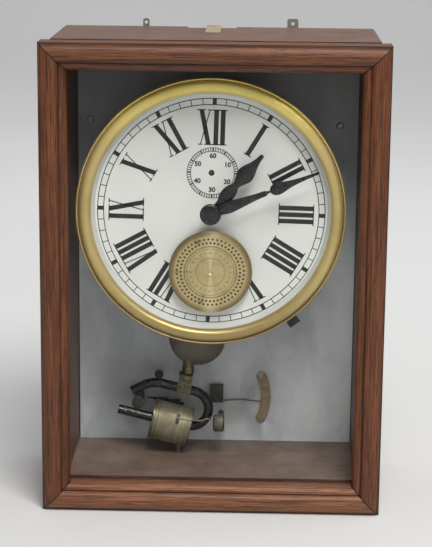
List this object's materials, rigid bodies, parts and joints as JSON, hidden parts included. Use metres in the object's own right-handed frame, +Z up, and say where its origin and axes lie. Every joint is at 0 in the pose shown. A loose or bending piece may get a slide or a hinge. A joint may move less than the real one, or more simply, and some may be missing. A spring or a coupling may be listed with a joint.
{
  "type": "electric wall clock",
  "caption": "Glazed wooden wall clock case with a marble slab that carries a round dial, a switching disc and a pendulum with a curved magnet swinging in a coil.",
  "frame": {"origin": "middle of the bounding box's base, under the bottom board", "axes": "+Z up, the door and dial face -Y, +X to the right of the dial"},
  "size_m": [0.36, 0.192, 0.511],
  "materials": {
    "wood": "dark reddish brown oiled wood with fine grain",
    "steel": "dull steel",
    "brass": "aged lacquered brass",
    "disc_brass": "turned brass, brown patina",
    "pale_brass": "dull greenish brass",
    "glass": "clear window glass",
    "marble": "honed pale grey marble with faint veins",
    "enamel": "white enamel with black print",
    "black_steel": "black gloss enamel",
    "bob_iron": "dark brown lacquered iron",
    "bronze": "tarnished bronze",
    "dark_iron": "matt dark iron",
    "winding": "varnished winding",
    "wire": "bare wire"
  },
  "bodies": {
    "case": {"case_left_side": "wood", "case_right_side": "wood", "case_top": "wood", "case_bottom": "wood", "back_board": "wood", "wall_hangers": "steel", "wood_screws": "steel", "rear_tab": "pale_brass", "hinge_case_leaves": "brass", "marble_slab": "marble", "slab_screws": "steel", "movement_back_plate": "brass", "movement_front_plate": "brass", "plate_pillars": "brass", "mounting_pillars": "brass", "tie_rods": "steel", "tie_rod_nuts": "steel", "dial": "enamel", "dial_back_plate": "steel", "bezel": "brass", "suspension_cock": "brass", "coil_former": "bronze", "coil_winding": "winding", "coil_sleeve": "pale_brass", "coil_saddle": "dark_iron", "coil_foot": "steel", "terminals": "brass", "coil_wire": "wire", "link_wire": "wire", "connector_strip": "bronze"},
    "door": {"door_top_rail": "wood", "door_bottom_rail": "wood", "door_left_stile": "wood", "door_right_stile": "wood", "door_glass": "glass", "glazing_beads": "wood", "hinge_door_leaves": "brass", "door_catch_barrel": "brass"},
    "catch_ball": {"door_catch_ball": "steel"},
    "minute_group": {"centre_arbor": "brass", "cannon_pinion": "brass", "minute_hand": "black_steel", "hand_boss": "black_steel"},
    "hour_group": {"hour_wheel": "brass", "hour_hand": "black_steel"},
    "motion_group": {"motion_wheel": "brass"},
    "programme_group": {"programme_wheel": "brass", "programme_disc": "disc_brass"},
    "intermediate_group": {"intermediate_arbor": "brass"},
    "seconds_group": {"seconds_arbor": "steel", "count_wheel": "brass"},
    "pendulum": {"suspension_spring": "steel", "pendulum_rod": "brass", "pendulum_bob": "bob_iron", "magnet_clamp": "bronze", "clamp_screws": "brass", "magnet": "black_steel"},
    "rating_nut": {"rating_nut": "brass"},
    "drive_pawl": {"drive_pawl": "brass"},
    "back_click": {"back_click": "brass"}
  },
  "joints": [
    {"name": "door_hinge", "type": "hinge", "parent": "case", "child": "door", "pos_m": [0.17375, -0.0597, 0.25], "axis": [0, 0, 1], "range_deg": [0, 105]},
    {"name": "catch_ball_slide", "type": "slide", "parent": "door", "child": "catch_ball", "axis": [0, -1, 0], "range_m": [0, 0.0012], "stiffness_N_per_m": 300},
    {"name": "minute_turn", "type": "hinge", "parent": "case", "child": "minute_group", "pos_m": [-0.0038, 0, 0.3182], "axis": [0, 1, 0], "continuous": true},
    {"name": "hour_turn", "type": "hinge", "parent": "case", "child": "hour_group", "pos_m": [-0.0038, 0, 0.3182], "axis": [0, 1, 0], "continuous": true},
    {"name": "motion_turn", "type": "hinge", "parent": "case", "child": "motion_group", "pos_m": [0.02349, 0, 0.3182], "axis": [0, 1, 0], "continuous": true},
    {"name": "programme_turn", "type": "hinge", "parent": "case", "child": "programme_group", "pos_m": [-0.0038, 0, 0.2527], "axis": [0, 1, 0], "continuous": true},
    {"name": "intermediate_turn", "type": "hinge", "parent": "case", "child": "intermediate_group", "pos_m": [0.00211, 0, 0.33898], "axis": [0, 1, 0], "continuous": true},
    {"name": "seconds_turn", "type": "hinge", "parent": "case", "child": "seconds_group", "pos_m": [-0.0038, 0, 0.3585], "axis": [0, 1, 0], "continuous": true},
    {"name": "pendulum_swing", "type": "hinge", "parent": "case", "child": "pendulum", "pos_m": [-0.0295, 0.0277, 0.39], "axis": [0, 1, 0], "range_deg": [-1.5, 1.5]},
    {"name": "rating_nut_turn", "type": "hinge", "parent": "pendulum", "child": "rating_nut", "pos_m": [-0.0295, 0.0277, 0.125], "axis": [0, 0, 1], "continuous": true},
    {"name": "drive_pawl_drop", "type": "hinge", "parent": "pendulum", "child": "drive_pawl", "pos_m": [-0.0295, 0.0207, 0.34], "axis": [0, 1, 0], "range_deg": [0, 10]},
    {"name": "back_click_lift", "type": "hinge", "parent": "case", "child": "back_click", "pos_m": [0.0202, 0.0207, 0.3605], "axis": [0, 1, 0], "range_deg": [0, 8]}
  ],
  "couplings": [
    {"joint": "hour_turn", "follows": "minute_turn", "ratio": 0.083333},
    {"joint": "motion_turn", "follows": "minute_turn", "ratio": -0.33333},
    {"joint": "programme_turn", "follows": "minute_turn", "ratio": -0.041667},
    {"joint": "intermediate_turn", "follows": "minute_turn", "ratio": -8},
    {"joint": "seconds_turn", "follows": "minute_turn", "ratio": 60}
  ]
}
